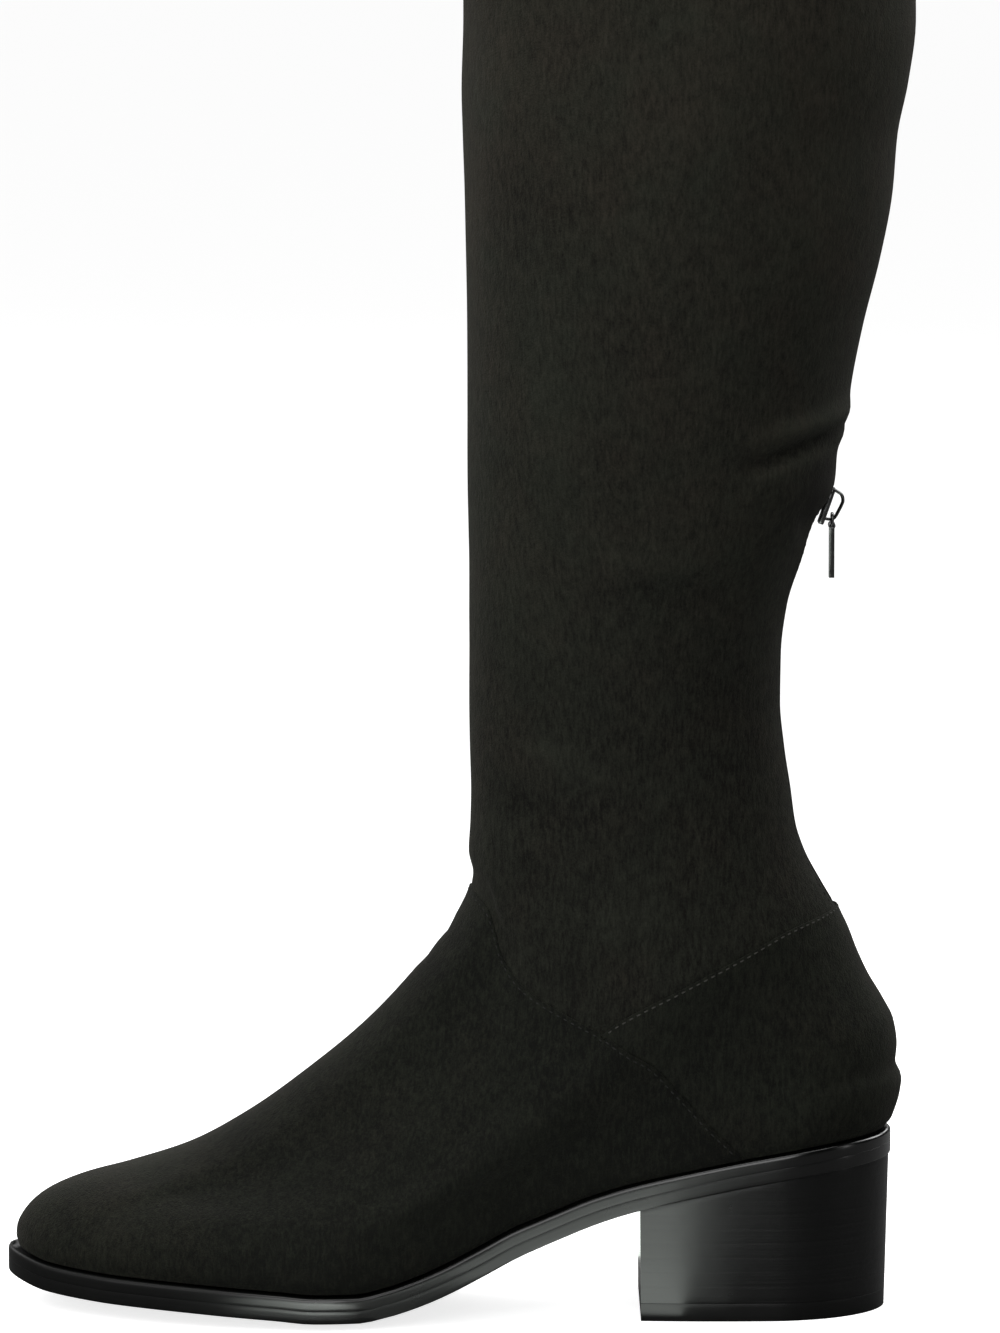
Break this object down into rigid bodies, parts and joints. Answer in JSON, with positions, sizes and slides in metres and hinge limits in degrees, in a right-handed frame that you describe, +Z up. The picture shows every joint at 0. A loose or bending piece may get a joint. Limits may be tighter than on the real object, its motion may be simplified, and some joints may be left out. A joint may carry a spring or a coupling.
{
  "type": "over-the-knee boot",
  "caption": "Over-the-knee boot with a tall soft shaft, rounded toe, block heel and a short zip at the back of the ankle.",
  "frame": {"origin": "on the floor, under the middle of the heel's top piece", "axes": "+Z up, -X towards the toe, -Y towards the outer (lateral) side of the left foot"},
  "size_m": [0.2632, 0.1208, 0.5902],
  "materials": {
    "suede": "near-black brushed suede, matt, stretch backing",
    "sole": "polished black",
    "lining": "smooth black lining",
    "heel": "stacked block, polished black",
    "heel_lift": "satin black",
    "zip_tape": "woven black tape",
    "zip_metal": "dark nickel"
  },
  "bodies": {
    "boot": {"upper": "suede", "outsole": "sole", "midsole": "sole", "insole": "lining", "heel": "heel", "heel_lift": "heel_lift", "zip_tape_outer": "zip_tape", "zip_tape_inner": "zip_tape", "zip_chain": "zip_metal", "zip_slider": "zip_metal"},
    "pull_link": {"zip_pull_link": "zip_metal"},
    "pull_tab": {"zip_pull_tab": "zip_metal"}
  },
  "joints": [
    {"name": "link_hinge", "type": "hinge", "parent": "boot", "child": "pull_link", "pos_m": [0.0192, 0, 0.23191], "axis": [0, -1, 0], "range_deg": [0, 90]},
    {"name": "tab_hinge", "type": "hinge", "parent": "pull_link", "child": "pull_tab", "pos_m": [0.019, 0, 0.22881], "axis": [0, -1, 0], "range_deg": [-20, 60]}
  ]
}
